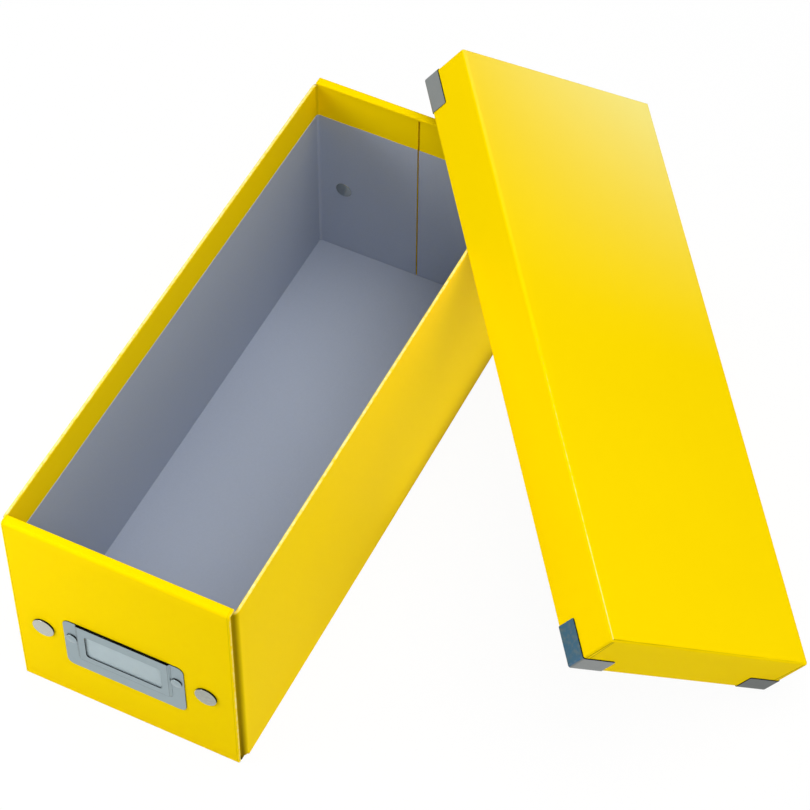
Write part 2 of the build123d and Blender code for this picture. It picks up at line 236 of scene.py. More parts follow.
def make_piece(name, lofts, body, materials, stands_for=(), place=None, marks=None,
               facing=None, crease=40.0, second=None):
    """One mesh object from lofts, riding on a body.

    Marks are attributes that a material reads, worked out from a point before the piece is
    put in its place. Facing joins an open sheet's lofts, and turns its outer side that way.
    Second says which faces take the second material.
    """
    mesh = bmesh.new()
    for loft in lofts:
        add_loft(mesh, **loft)
    if facing:
        bmesh.ops.remove_doubles(mesh, verts=mesh.verts, dist=0.005 * MM)
    bmesh.ops.recalc_face_normals(mesh, faces=mesh.faces)
    if facing and sum((face.normal * face.calc_area() for face in mesh.faces),
                      Vector()).dot(facing) < 0:
        bmesh.ops.reverse_faces(mesh, faces=mesh.faces)
    for face in mesh.faces:
        face.smooth = True
    for edge in mesh.edges:
        edge.smooth = not edge.is_manifold or edge.calc_face_angle() < math.radians(crease)
    data = finished_mesh(name, mesh)
    for material in materials:
        data.materials.append(material)
    for mark, value_at in (marks or {}).items():
        values = data.attributes.new(mark, "FLOAT", "POINT")
        for vertex in data.vertices:
            values.data[vertex.index].value = value_at(vertex.co)
    if second:
        for face in data.polygons:
            face.material_index = int(second(face.center))
    if place:
        data.transform(place)
    piece = put_in_scene(name, data)
    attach(piece, body)
    if stands_for:
        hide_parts(*stands_for)
    return piece


def keep_flats(piece):
    """Let wide flat faces rule the normals at the rounded edges beside them."""
    flats = piece.modifiers.new("Flats", "WEIGHTED_NORMAL")
    flats.keep_sharp = True
    flats.weight = 60
    return piece


def sheet_metal(piece, thickness, edge):
    """Give a bent surface its thickness, and break its cut edges."""
    solid = piece.modifiers.new("Sheet", "SOLIDIFY")
    solid.thickness = thickness
    solid.offset = -1.0
    # The sheet's rim takes the second material, a cut edge painted dark as shade
    solid.material_offset_rim = 1
    broken = piece.modifiers.new("Broken edge", "BEVEL")
    broken.width = edge
    broken.segments = 2
    broken.limit_method = "ANGLE"
    broken.angle_limit = math.radians(50)
    return keep_flats(piece)


def near(value, target, reach):
    """1 at the target, falling to 0 at a distance of reach."""
    return max(0.0, 1.0 - abs(value - target) / reach)


def limited(value):
    """The value, kept between 0 and 1."""
    return max(0.0, min(1.0, value))


# Materials

def add_node(tree, kind, settings=None, links=None):
    """Add a node. Lower-case settings are its properties, and the others its inputs."""
    made = tree.nodes.new(kind)
    for key, value in (settings or {}).items():
        if isinstance(key, str) and key.islower():
            setattr(made, key, value)
        else:
            made.inputs[key].default_value = value
    for key, source in (links or {}).items():
        tree.links.new(source, made.inputs[key])
    return made


def pattern(size):
    """Noise scale for a feature of a size in metres."""
    return 1.0 / size


def empty_tree(owner):
    """Node tree of a new material or world, cleared."""
    owner.use_nodes = True
    owner.node_tree.nodes.clear()
    return owner.node_tree


def start_material(name):
    """Empty node material, and coordinates in metres in the piece's frame."""
    material = bpy.data.materials.new(name)
    tree = empty_tree(material)
    place = add_node(tree, "ShaderNodeTexCoord").outputs["Object"]
    return material, tree, place


def end_material(tree, shader):
    add_node(tree, "ShaderNodeOutputMaterial", links={"Surface": shader.outputs["BSDF"]})


def tint(colour_value, factor):
    """A lighter or darker tone of a colour."""
    return tuple(min(1.0, channel * factor) for channel in colour_value) + (1.0,)


def cover_paper():
    """Printed cover paper with a gloss film, glued on greyboard.

    The board under it gives a slow waviness and the paper a fine grain, and the folds rub
    pale. Its reflection is held low, because the print shows flat colour and hardly any
    highlight.
    """
    name = "gloss-laminated cover paper"
    if name in bpy.data.materials:
        return bpy.data.materials[name]
    colours = bpy.context.scene.box_colours
    material, tree, place = start_material(name)
    clouds = add_node(tree, "ShaderNodeTexNoise", {"Scale": pattern(45 * MM), "Detail": 3.0},
                      {"Vector": place})
    grain = add_node(tree, "ShaderNodeTexNoise", {"Scale": pattern(0.7 * MM), "Detail": 2.0},
                     {"Vector": place})
    board = add_node(tree, "ShaderNodeTexNoise", {"Scale": pattern(22 * MM), "Detail": 2.0},
                     {"Vector": place})
    toned = add_node(
        tree, "ShaderNodeMix",
        {"data_type": "RGBA", 6: tint(colours.cover, 0.985), 7: tint(colours.cover, 1.012)},
        {0: clouds.outputs["Fac"]})
    # Rubbed spots about 3 mm long, only where the wear mark is set
    rubbed = add_node(tree, "ShaderNodeTexNoise", {"Scale": pattern(3 * MM), "Detail": 4.0},
                      {"Vector": place})
    wear = add_node(tree, "ShaderNodeAttribute", {"attribute_name": "wear"})
    worn = add_node(tree, "ShaderNodeMath", {"operation": "MULTIPLY"},
                    {0: wear.outputs["Fac"], 1: rubbed.outputs["Fac"]})
    worn = add_node(tree, "ShaderNodeMapRange",
                    {"From Min": 0.22, "From Max": 0.6, "To Max": 0.9},
                    {"Value": worn.outputs["Value"]})
    joint_and_shade_mask = add_node(tree, "ShaderNodeAttribute", {"attribute_name": "seam"})
    painted_sheen_mask = add_node(tree, "ShaderNodeAttribute", {"attribute_name": "painted_sheen"})
    # Rubbed folds, then seam lines and painted shade in folds and creases, then a painted sheen
    # on the lid's top
    coloured = toned
    for tone, amount in ((colours.worn, worn.outputs["Result"]),
                         (colours.seam, joint_and_shade_mask.outputs["Fac"]),
                         (colours.painted_sheen, painted_sheen_mask.outputs["Fac"])):
        coloured = add_node(tree, "ShaderNodeMix", {"data_type": "RGBA", 7: tint(tone, 1.0)},
                            {0: amount, 6: coloured.outputs[2]})
    sheen = add_node(tree, "ShaderNodeMapRange", {"To Min": 0.34, "To Max": 0.42},
                     {"Value": clouds.outputs["Fac"]})
    waves = add_node(tree, "ShaderNodeBump", {"Strength": 0.35, "Distance": 0.12 * MM},
                     {"Height": board.outputs["Fac"]})
    relief = add_node(tree, "ShaderNodeBump", {"Strength": 0.25, "Distance": 0.012 * MM},
                      {"Height": grain.outputs["Fac"], "Normal": waves.outputs["Normal"]})
    shader = add_node(tree, "ShaderNodeBsdfPrincipled",
                      {"IOR": 1.5, "Specular IOR Level": 0.004},
                      {"Base Color": coloured.outputs[2], "Roughness": sheen.outputs["Result"],
                       "Normal": relief.outputs["Normal"]})
    end_material(tree, shader)
    return material


def fibrous(name, dark, light, size, rough, ior, relief, cockle=None):
    """Paper or board whose two tones and relief follow its fibres.

    Relief is the strength and depth of the fibres. Cockle is the size, strength and depth of
    slow waves under them.
    """
    if name in bpy.data.materials:
        return bpy.data.materials[name]
    material, tree, place = start_material(name)
    fibre = add_node(tree, "ShaderNodeTexNoise", {"Scale": pattern(size), "Detail": 4.0},
                     {"Vector": place})
    toned = add_node(tree, "ShaderNodeMix", {"data_type": "RGBA", 6: dark, 7: light},
                     {0: fibre.outputs["Fac"]})
    links = {"Height": fibre.outputs["Fac"]}
    if cockle:
        waves = add_node(tree, "ShaderNodeTexNoise",
                         {"Scale": pattern(cockle[0]), "Detail": 2.0}, {"Vector": place})
        links["Normal"] = add_node(
            tree, "ShaderNodeBump", {"Strength": cockle[1], "Distance": cockle[2]},
            {"Height": waves.outputs["Fac"]}).outputs["Normal"]
    bump = add_node(tree, "ShaderNodeBump", {"Strength": relief[0], "Distance": relief[1]}, links)
    shader = add_node(tree, "ShaderNodeBsdfPrincipled", {"Roughness": rough, "IOR": ior},
                      {"Base Color": toned.outputs[2], "Normal": bump.outputs["Normal"]})
    end_material(tree, shader)
    return material


def shaded_greyboard():
    """Bare greyboard at the open corners of the base, rough and layered, painted near black for
    the shade under the folds.
    """
    return fibrous("bare greyboard edge", tint(linear("#1E1A0C"), 1.0),
                   tint(linear("#3A3220"), 1.0), 0.5 * MM, 0.9, 1.45, (0.5, 0.05 * MM))


def lining_paper():
    """Uncoated lining paper, matt, with fibres and a faint cockle from the paste."""
    tone = bpy.context.scene.box_colours.lining
    return fibrous("uncoated lining paper", tint(tone, 0.95), tint(tone, 1.05), 0.9 * MM,
                   0.78, 1.45, (0.4, 0.03 * MM), cockle=(18 * MM, 0.4, 0.15 * MM))


def plain_card():
    """Smooth calendered card, blank, with a slight mottle."""
    tone = bpy.context.scene.box_colours.card
    return fibrous("calendered card", tint(tone, 0.96), tint(tone, 1.04), 5 * MM,
                   0.6, 1.47, (0.3, 0.02 * MM))


def metal(name, colour_value, rough, grit, stretch=(1, 1, 1), turn=(0, 0, 0), painted_reflection_and_shade=None):
    """Metal whose roughness and relief follow a grain, drawn out along the axes of a turn.

    Where its mark is set, a dark colour is painted over it and less of it is mirror: a painted
    reflection on a lid corner's leg, painted shade along the holder's pressed step, and painted
    shade that darkens the caps at the right.
    dirt in a groove, or a duller side.
    """
    if name in bpy.data.materials:
        return bpy.data.materials[name]
    material, tree, place = start_material(name)
    drawn = add_node(tree, "ShaderNodeMapping",
                     {"vector_type": "TEXTURE", "Rotation": turn, "Scale": stretch},
                     {"Vector": place})
    grain = add_node(tree, "ShaderNodeTexNoise", {"Scale": pattern(grit), "Detail": 3.0},
                     {"Vector": drawn.outputs["Vector"]})
    smudge = add_node(tree, "ShaderNodeTexNoise", {"Scale": pattern(7 * MM), "Detail": 2.0},
                      {"Vector": place})
    toned = add_node(
        tree, "ShaderNodeMix",
        {"data_type": "RGBA", 6: tint(colour_value, 0.93), 7: tint(colour_value, 1.05)},
        {0: smudge.outputs["Fac"]})
    roughness = add_node(tree, "ShaderNodeMapRange",
                         {"To Min": rough * 0.85, "To Max": rough * 1.15},
                         {"Value": grain.outputs["Fac"]})
    relief = add_node(tree, "ShaderNodeBump", {"Strength": 0.3, "Distance": 0.01 * MM},
                      {"Height": grain.outputs["Fac"]})
    links = {"Base Color": toned.outputs[2], "Roughness": roughness.outputs["Result"],
             "Normal": relief.outputs["Normal"]}
    if painted_reflection_and_shade:
        # Painted reflection and shade hide most of the mirror, in blotches
        film = add_node(tree, "ShaderNodeAttribute", {"attribute_name": "painted_reflection_and_shade"})
        blotches = add_node(tree, "ShaderNodeTexNoise",
                            {"Scale": pattern(2.5 * MM), "Detail": 3.0}, {"Vector": place})
        patchy = add_node(tree, "ShaderNodeMapRange",
                          {"From Min": 0.35, "From Max": 0.6, "To Min": 0.72, "To Max": 1.08},
                          {"Value": blotches.outputs["Fac"]})
        amount = add_node(tree, "ShaderNodeMath", {"operation": "MULTIPLY"},
                          {0: film.outputs["Fac"], 1: patchy.outputs["Result"]})
        painted_over = add_node(tree, "ShaderNodeMix", {"data_type": "RGBA", 7: tint(painted_reflection_and_shade, 1.0)},
                          {0: amount.outputs[0], 6: toned.outputs[2]})
        mirror = add_node(tree, "ShaderNodeMapRange", {"To Min": 1.0, "To Max": 0.05},
                          {"Value": amount.outputs[0]})
        links.update({"Base Color": painted_over.outputs[2], "Metallic": mirror.outputs["Result"]})
    shader = add_node(tree, "ShaderNodeBsdfPrincipled", {"Metallic": 1.0}, links)
    end_material(tree, shader)
    return material


def holder_steel():
    """Stamped steel, satin nickel plated: a fine grain along the plate blurs what it shows."""
    # Its second colour paints shade along the pressed step
    return metal("satin nickel-plated steel", bpy.context.scene.box_colours.holder,
                 0.42, 0.8 * MM, stretch=(5, 1, 1), painted_reflection_and_shade=linear("#4B5558"))


def corner_steel(shaded_copy=False):
    """Brushed steel, bent cold: the brushing runs along the rim. One corner takes a darker copy,
    painted in shade.
    """
    colours = bpy.context.scene.box_colours
    name, tone = (("dulled brushed steel", colours.shaded_copy) if shaded_copy
                  else ("brushed steel", colours.corner))
    return metal(name, tone, 0.34, 0.7 * MM, stretch=(5, 5, 1), turn=lean().to_euler(),
                 painted_reflection_and_shade=colours.painted_reflection_and_shade)


def stud_nickel():
    """Turned and polished nickel with clear reflections; the caps at the right are painted
    darker, as shade.
    """
    return metal("polished nickel", bpy.context.scene.box_colours.stud, 0.2, 1.2 * MM,
                 painted_reflection_and_shade=linear("#80857A"))


def rivet_steel():
    """Rivet heads, barrel plated with the holder: blue-grey, and smoother than the sheet."""
    return metal("nickel-plated rivet steel", bpy.context.scene.box_colours.holder,
                 0.22, 2.0 * MM)


def cut_edge_and_shade():
    """Edge where the plated sheet was sheared, bare and torn, painted near black for the shade
    along the sheet's edges and in the window.
    """
    return metal("sheared steel edge", linear("#121313"), 0.75, 0.3 * MM)


def shade_black_steel():
    """Steel painted black as shade: behind the holder, so nothing shines in the slot above the
    card, and in the turned-in edges of domed heads.
    """
    return metal("black oxide steel", linear("#1A1A1A"), 0.6, 1.0 * MM)


def paper_lining(name):
    """Give a lining that keeps its CAD mesh its paper."""
    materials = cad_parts[name].data.materials
    materials.clear()
    materials.append(lining_paper())


# Box

def side_section(base, inset=0.0):
    """Closed section of a wall or flap: depth from its outer face, and height."""
    sizes = bpy.context.scene.board_sizes
    top, board = WALL_HIGH.z, sizes.board
    rim, foot = sizes.rim_round, sizes.base_round
    outline = [(board, base)]
    outline += run((board, base), (board, top - rim), 5)
    outline += arc(board - rim, top - rim, rim, 0, 90)
    outline += arc(rim, top - rim, rim, 90, 180)
    outline += run((0, top - rim), (0, base + foot), 8)
    outline += arc(foot, base + foot, foot, 180, 270)
    return shrunk(outline, inset)


def side_path():
    """Stations along the outer face of the right flaps, folds and wall, front to back."""
    sizes = bpy.context.scene.board_sizes
    radius = sizes.fold_radius
    face_y = FLAP_LOW.y
    end_x, fold_x, wall_x = FLAP_LOW.x, WALL_HIGH.x - radius, WALL_HIGH.x
    base = FLAP_LOW.z
    half = [((end_x, face_y), (0, -1), base)]
    half += [((x, face_y), (0, -1), base) for (x,) in run((end_x,), (fold_x,), 6)]
    for angle in range(-90, 1, 10):
        way = (math.cos(math.radians(angle)), math.sin(math.radians(angle)))
        point = (fold_x + radius * way[0], face_y + radius + radius * way[1])
        half.append((point, way, base))
    start, step_down = face_y + radius, 0.4 * MM
    # The wall reaches the table, and the fold and the flap stop above the base
    half += [((wall_x, start + step_down), (1, 0), 0.0)]
    half += [((wall_x, y), (1, 0), 0.0) for (y,) in run((start,), (0.0,), 7)]
    far = [((x, -y), (nx, -ny), low) for (x, y), (nx, ny), low in reversed(half)]
    return half + far


def swept_side(side, sections):
    """Rings of a wall with its two flaps, on the right (1) or the left (-1)."""
    return [[(side * (x - nx * depth), y - ny * depth, z) for depth, z in section]
            for ((x, y), (nx, ny), base), section in sections]


class STORAGE_OT_walls(Operator):
    """Build the long walls, each in one piece with its folds and flaps"""
    bl_idname = "storage.walls"
    bl_label = "Walls and flaps"

    def execute(self, context):
        path = side_path()
        end_edge, worn_rim = 0.3 * MM, 0.7 * MM
        sections = []
        for place, station in enumerate(path):
            inset = end_edge if place in (0, len(path) - 1) else 0.0
            sections.append((station, side_section(station[2], inset)))
        fold_start = -FLAP_LOW.y - context.scene.board_sizes.fold_radius
        shaded_fold_start, shaded_fold_run = fold_start + 0.3 * MM, 2.8 * MM
        panel_cover, shade_run = PANEL_HIGH.x - 1.4 * MM, 1.0 * MM
        darker_below = 40 * MM

        def wear(point):
            """Hands rub the rim."""
            return near(point.z, WALL_HIGH.z, worn_rim)

        def seam(point):
            """Painted shade: the outside of the folds darkens beside the end panels, which shade
            the recess, and a little more towards the bottom.
            """
            into_fold = limited((abs(point.y) - shaded_fold_start) / shaded_fold_run)
            past_panel = limited((abs(point.x) - panel_cover) / shade_run)
            return (1.0 - 0.15 * min(1.0, point.z / darker_below)) * into_fold * past_panel

        for side, label in ((1, "right"), (-1, "left")):
            keep_flats(make_piece(
                f"{label}_wall_and_flaps", [{"rings": swept_side(side, sections)}], "box",
                [cover_paper()],
                [f"{label}_wall", f"{label}_front_flap", f"{label}_back_flap"],
                marks={"wear": wear, "seam": seam}))
        return {"FINISHED"}


class STORAGE_OT_base(Operator):
    """Wrap the base board, and give the floor lining its paper"""
    bl_idname = "storage.base"
    bl_label = "Base"

    def execute(self, context):
        low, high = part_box("base_board")
        edge, corner_round, face_inset = 0.3 * MM, 0.6 * MM, 4 * MM
        outline = rectangle(low.x, high.x, low.y, high.y, corner_round, along=12)
        rings = []
        for inset, z in ((face_inset, low.z), (edge, low.z), (0, low.z + edge),
                         (0, high.z - edge), (edge, high.z), (face_inset, high.z)):
            rings.append([(x, y, z) for x, y in shrunk(outline, inset)])
        fold = -FLAP_LOW.y - context.scene.board_sizes.fold_radius
        open_side, shaded_fold_run = high.x - 1 * MM, 2 * MM

        def seam(point):
            """Painted shade at the open corners, under the folds."""
            if abs(point.x) <= open_side:
                return 0.0
            return limited((abs(point.y) - fold) / shaded_fold_run)

        # Where the painted shade is full, the board's edge takes greyboard painted near black
        keep_flats(make_piece(
            "wrapped_base", [{"rings": rings, "fan": True}], "box",
            [cover_paper(), shaded_greyboard()], ["base_board"], marks={"seam": seam},
            second=lambda point: seam(point) > 0.9))
        paper_lining("floor_lining")
        return {"FINISHED"}


class STORAGE_OT_linings(Operator):
    """Build the lining paper of the walls and flaps, one sheet each side"""
    bl_idname = "storage.linings"
    bl_label = "Wall linings"

    def execute(self, context):
        sizes = context.scene.board_sizes
        low, top = LINING_LOW.z, LINING_HIGH.z
        edge = wander = 0.12 * MM
        lofts = []
        for side in (1, -1):
            sections = []
            for place, station in enumerate(side_path()):
                # The trimmed edge isn't quite straight
                high = top + wander * math.sin(place * 1.7 + side)
                inner, outer = sizes.board, sizes.board + sizes.lining
                section = [(inner, low), (outer - edge, low), (outer, low + edge)]
                section += run((outer, low), (outer, high), 6)
                section += [(outer, high - edge), (outer - edge, high), (inner, high)]
                sections.append((station, section))
            lofts.append({"rings": swept_side(side, sections)})
        make_piece("wall_linings", lofts, "box", [lining_paper()],
                   ["left_lining", "right_lining", "front_flap_linings", "back_flap_linings"])
        return {"FINISHED"}


def panel_section():
    """Section of an end panel with its lip: depth from its face, and height."""
    sizes = bpy.context.scene.board_sizes
    board, lip, rim = sizes.board, sizes.lip_round, sizes.rim_round
    foot, top, deep = sizes.base_round, PANEL_HIGH.z, PANEL_HIGH.y - PANEL_LOW.y
    under = top - board
    outline = arc(deep - rim, under + rim, rim, -90, 0, 4)
    outline += arc(deep - rim, top - rim, rim, 0, 90, 4)
    outline += arc(lip, top - lip, lip, 90, 180, 10)
    outline += run((0, top - lip), (0, foot), 8)
    outline += arc(foot, foot, foot, 180, 270)
    outline += [(board, 0)] + run((board, 0), (board, under), 6) + [(board, under)]
    return outline


class STORAGE_OT_panels(Operator):
    """Build the front and back panels with their folded lips"""
    bl_idname = "storage.panels"
    bl_label = "End panels"

    def execute(self, context):
        half, top = PANEL_HIGH.x, PANEL_HIGH.z
        section = panel_section()
        turned_edge, crease, crease_step, crease_reach = 0.6 * MM, 1.1 * MM, 0.25 * MM, 0.2 * MM
        stations = []
        for angle in (math.radians(90 * step / 4) for step in range(5)):
            stations.append((turned_edge * (1 - math.cos(angle)) - half,
                             turned_edge * (1 - math.sin(angle))))
        stations += [(crease + shift - half, 0.0) for shift in (-crease_step, 0.0, crease_step)]
        turned = len(stations)
        stations += [(x, 0.0) for (x,) in run((stations[-1][0],), (-stations[-1][0],), 10)]
        stations += [(-x, inset) for x, inset in reversed(stations[:turned])]

        def wear(point):
            """The upright edges are rubbed, and the top corners over a longer run."""
            corner = near(point.z, top, 1.0 * MM) * near(abs(point.x), half, 1.5 * MM)
            return max(0.7 * corner, 0.72 * near(abs(point.x), half, 0.5 * MM))

        def seam(point):
            """Painted shade along the crease beside the turned edge."""
            return 0.35 * near(abs(point.x), half - crease, crease_reach)

        for name, body, face, sign in (("front_panel", "front_panel", PANEL_LOW.y, 1),
                                       ("back_panel", "box", -PANEL_LOW.y, -1)):
            rings = []
            for x, inset in stations:
                rings.append([(x, face + sign * depth, z)
                              for depth, z in shrunk(section, inset)])
            keep_flats(make_piece(f"{name}_board", [{"rings": rings}], body,
                                  [cover_paper()], [name],
                                  marks={"wear": wear, "seam": seam}))
        return {"FINISHED"}


# Studs and rivets

def turned(profile, x, y, z, sign, steps=48):
    """Rings of a solid turned about Y, from a profile of radius and depth."""
    rings = []
    for radius, depth in profile:
        rings.append([(x + radius * math.cos(math.tau * k / steps), y + sign * depth,
                       z + radius * math.sin(math.tau * k / steps)) for k in range(steps)])
    return {"rings": rings}


def dome(radius, rise, edge, steps=14):
    """Profile of a low domed head, whose edge is rolled over a rim of a given height."""
    roll, tuck = 0.15 * MM, 0.25 * MM
    shoulder = radius - roll
    profile = [(shoulder * step / steps,
                -edge - (rise - edge) * math.cos(math.pi / 2 * step / steps))
               for step in range(1, steps)]
    profile += [(x, -y) for x, y in arc(shoulder, edge - roll, roll, 90, 0, 5)]
    profile += [(radius, -0.8 * edge), (radius, -0.4 * edge), (radius - 0.05 * MM, -0.15 * edge)]
    return profile + [(radius - tuck, 0.0)]


class STORAGE_OT_studs(Operator):
    """Turn the caps, sockets and posts of the press studs"""
    bl_idname = "storage.studs"
    bl_label = "Press studs"

    def execute(self, context):
        sizes = context.scene.fitting_sizes
        board = context.scene.board_sizes.board
        places = [side * sizes.stud_x for side in (-1, 1)]
        barrel, bore, bore_end = 2.75 * MM, 2.1 * MM, 0.1 * MM
        cap = dome(sizes.cap_radius, sizes.cap_rise, sizes.cap_edge)
        cap += [(barrel, 0.0), (barrel, board), (bore, board), (bore, bore_end)]
        # Radius and depth of the socket behind the panel, in millimetres
        socket = [(radius * MM, board + depth * MM) for radius, depth in (
            (1.9, 0.25), (2.2, 0.0), (5.0, 0.0), (5.2, 0.2), (5.2, 0.45), (5.0, 0.6),
            (3.6, 0.6), (3.3, 0.7), (2.3, 0.7), (1.9, 0.5))]
        for end, body, face, sign in (("front", "front_panel", PANEL_LOW.y, 1),
                                      ("back", "box", -PANEL_LOW.y, -1)):
            caps = [turned(cap, x, face, sizes.stud_height, sign) for x in places]

            def shaded_under_cap(point, face=face, sign=sign):
                """The turned-in edge and the barrel, painted black as the shade where no light
                gets to.
                """
                return (face - point.y) * sign < SHADED_UNDER * sizes.cap_edge

            # The caps at the right are painted darker as shade, and their turned-in edges black
            # as shade
            make_piece(f"{end}_domed_caps", caps, body,
                       [stud_nickel(), shade_black_steel()], [f"{end}_stud_caps"],
                       marks={"painted_reflection_and_shade": lambda point: 0.5 if point.x > 0 else 0.0},
                       second=shaded_under_cap)
            rings = [turned(socket + socket[:1], x, face, sizes.stud_height, sign)
                     for x in places]
            make_piece(f"{end}_spring_sockets", [dict(ring, capped=False) for ring in rings],
                       body, [stud_nickel()], [f"{end}_stud_sockets"])
        flap = FLAP_LOW.y - PANEL_LOW.y
        seat = flap + board + context.scene.board_sizes.lining
        ball, shank, flange = 1.8 * MM, 1.9 * MM, 5.0 * MM
        centre, flange_round, flange_dome = flap - 1.2 * MM, 0.2 * MM, 0.6 * MM
        post = [(ball * math.sin(angle), centre - ball * math.cos(angle))
                for angle in map(math.radians, range(10, 131, 12))]
        post += [(shank, flap), (shank, seat), (flange - flange_round, seat),
                 (flange, seat + flange_round)]
        post += [(flange * math.cos(angle), seat + flange_round + flange_dome * math.sin(angle))
                 for angle in map(math.radians, range(12, 85, 8))]
        posts = [turned(post, x, sign * PANEL_LOW.y, sizes.stud_height, sign)
                 for x in places for sign in (1, -1)]
        make_piece("ball_posts", posts, "box", [stud_nickel()], ["stud_posts"])
        return {"FINISHED"}


class STORAGE_OT_rivets(Operator):
    """Turn the rivets that hold the label holder"""
    bl_idname = "storage.rivets"
    bl_label = "Rivets"

    def execute(self, context):
        sizes = context.scene.fitting_sizes
        board = context.scene.board_sizes.board
        head = [(radius, depth - sizes.sheet) for radius, depth in
                dome(sizes.rivet_radius, sizes.rivet_rise, sizes.rivet_edge, 10)]
        shank = 1.15 * MM
        head += [(shank, -sizes.sheet), (shank, board)]
        # Radius and depth of the tail, spread on the back of the panel, in millimetres
        head += [(radius * MM, board + depth * MM)
                 for radius, depth in ((2.0, 0.0), (2.1, 0.2), (1.9, 0.45), (1.0, 0.5))]
        rivets = [turned(head, side * sizes.rivet_x, PANEL_LOW.y, sizes.rivet_height, 1)
                  for side in (-1, 1)]

        def shaded_under_head(point):
            """The turned-in edge of the head, down to the plate, painted black as shade."""
            height = PANEL_LOW.y - sizes.sheet - point.y
            return -0.1 * MM < height < SHADED_UNDER * sizes.rivet_edge

        make_piece("domed_rivets", rivets, "front_panel",
                   [rivet_steel(), shade_black_steel()], ["holder_rivets"], second=shaded_under_head)
        return {"FINISHED"}


# Label holder

def both_sides(left):
    """A left side, down to the middle, with its mirror image after it."""
    right = [(-x, z) for x, z in reversed(left)]
    return left + run(left[-1], right[0], 12) + right


def u_outline(half, bottom, top, radius):
    """Left side, bottom and right side of a rounded rectangle, open at the top."""
    split = top - 4 * MM
    left = [(-half, top)] + run((-half, top), (-half, split), 8) + [(-half, split)]
    left += run((-half, split), (-half, bottom + radius), 6)
    return both_sides(left + arc(radius - half, bottom + radius, radius, 180, 270, 8))


def closed_outline(half, bottom, top, radius):
    """The same points on a closed rounded rectangle, from its upper left corner."""
    left = arc(radius - half, top - radius, radius, 90, 180, 8)
    left += run(left[-1], (-half, bottom + radius), 6)
    return both_sides(left + arc(radius - half, bottom + radius, radius, 180, 270, 8))


class STORAGE_OT_label_holder(Operator):
    """Press the label holder from one sheet, with its pocket and its window"""
    bl_idname = "storage.label_holder"
    bl_label = "Label holder"

    def execute(self, context):
        sizes = context.scene.fitting_sizes
        low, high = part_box("label_holder")
        face, sheet = PANEL_LOW.y, sizes.sheet
        rise = face - low.y
        half, bottom, top = high.x, low.z, high.z
        plate_round = 4 * MM
        rings = [[(x, face - sheet, z)
                  for x, z in closed_outline(half, bottom, top, plate_round)]]
        # The pocket's sides are pressed out through a soft S, with a flat margin at each end
        foot_half, foot_bottom, foot_round = 27.6 * MM, 38.7 * MM, 2.4 * MM
        reach, margin, steps = 1.3 * MM, 0.25 * MM, 8
        for step in range(-1, steps + 2):
            share = limited(step / steps)
            lift = share ** 3 * (share * (6 * share - 15) + 10)
            inset = reach * share + (margin if step > steps else -margin if step < 0 else 0.0)
            depth = sheet + (rise - sheet) * lift
            rings.append([(x, face - depth, z) for x, z in u_outline(
                foot_half - inset, foot_bottom + inset, top, foot_round - inset)])
        lofts = [{"rings": rings, "closed": False, "capped": False}]
        front = rings[-1]
        strip = [Vector(front[-1]).lerp(Vector(front[0]), step / 12) for step in range(1, 12)]
        window_half, window_bottom, window_top = 22.2 * MM, 44.5 * MM, 62.4 * MM
        window = closed_outline(window_half, window_bottom, window_top, 1.8 * MM)
        edge = window + run(window[-1], window[0], 12)
        outer = front + [tuple(point) for point in strip]
        inner = [(x, face - rise, z) for x, z in edge]
        # The punch leaned a little, so the left edge is cut at more of a slant
        middle = (window_bottom + window_top) / 2
        lip_shift, lip_depth = 0.08 * MM, 0.12 * MM
        lip = [(x * 0.994 + lip_shift, face - rise + lip_depth, middle + (z - middle) * 0.985)
               for x, z in edge]
        lofts.append({"rings": [outer, inner, lip], "closed": True, "capped": False})
        around, behind = 0.5 * MM, 0.03 * MM

        def cut(point):
            """The cut faces of the window, behind its front edge, painted near black for the
            shade in the window's recess.
            """
            return (point.y > face - rise + behind and abs(point.x) < window_half + around
                    and window_bottom - around < point.z < window_top + around)

        fine, broad = 0.12 * MM, 0.16 * MM

        def groove_shade(point):
            """Painted shade line where the pressed step meets the plate, and one at its top."""
            if point.z > top - 0.01 * MM:
                return 0.0
            across = abs(point.x) - foot_half + foot_round
            down = foot_bottom + foot_round - point.z
            out = (math.hypot(across, down) if min(across, down) > 0
                   else max(across, down)) - foot_round
            foot_line = near(out, 0, broad if down > across else fine)
            return max(0.9 * foot_line, near(out, -reach, broad))

        piece = make_piece("pressed_holder", lofts, "front_panel",
                           [holder_steel(), cut_edge_and_shade()], ["label_holder"],
                           facing=Vector((0, -1, 0)), marks={"painted_reflection_and_shade": groove_shade}, second=cut)
        sheet_metal(piece, sheet, 0.06 * MM)
        # A black sheet behind the holder paints the shade in the slot above the card
        back_half, back_bottom, hair = 26.9 * MM, 40.4 * MM, 0.02 * MM
        back = [[(x, face - depth, z) for x, z in rectangle(
            -back_half, back_half, back_bottom, top - hair, 0.4 * MM)]
            for depth in (hair, 0.22 * MM)]
        make_piece("shade_sheet_behind_holder", [{"rings": back}], "front_panel",
                   [shade_black_steel()])
        return {"FINISHED"}


class STORAGE_OT_label_card(Operator):
    """Cut the blank card that slides in the holder"""
    bl_idname = "storage.label_card"
    bl_label = "Label card"

    def execute(self, context):
        low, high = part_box("label_card")
        edge, corner_round = 0.08 * MM, 1.2 * MM
        outline = rectangle(low.x, high.x, low.z, high.z, corner_round)
        rings = []
        for y, inset in ((low.y, edge), (low.y + edge, 0), (high.y - edge, 0), (high.y, edge)):
            rings.append([(x, y, z) for x, z in shrunk(outline, inset)])
        keep_flats(make_piece("blank_card", [{"rings": rings}], "label_card",
                              [plain_card()], ["label_card"]))
        return {"FINISHED"}


# Lid, built upright and then leaned

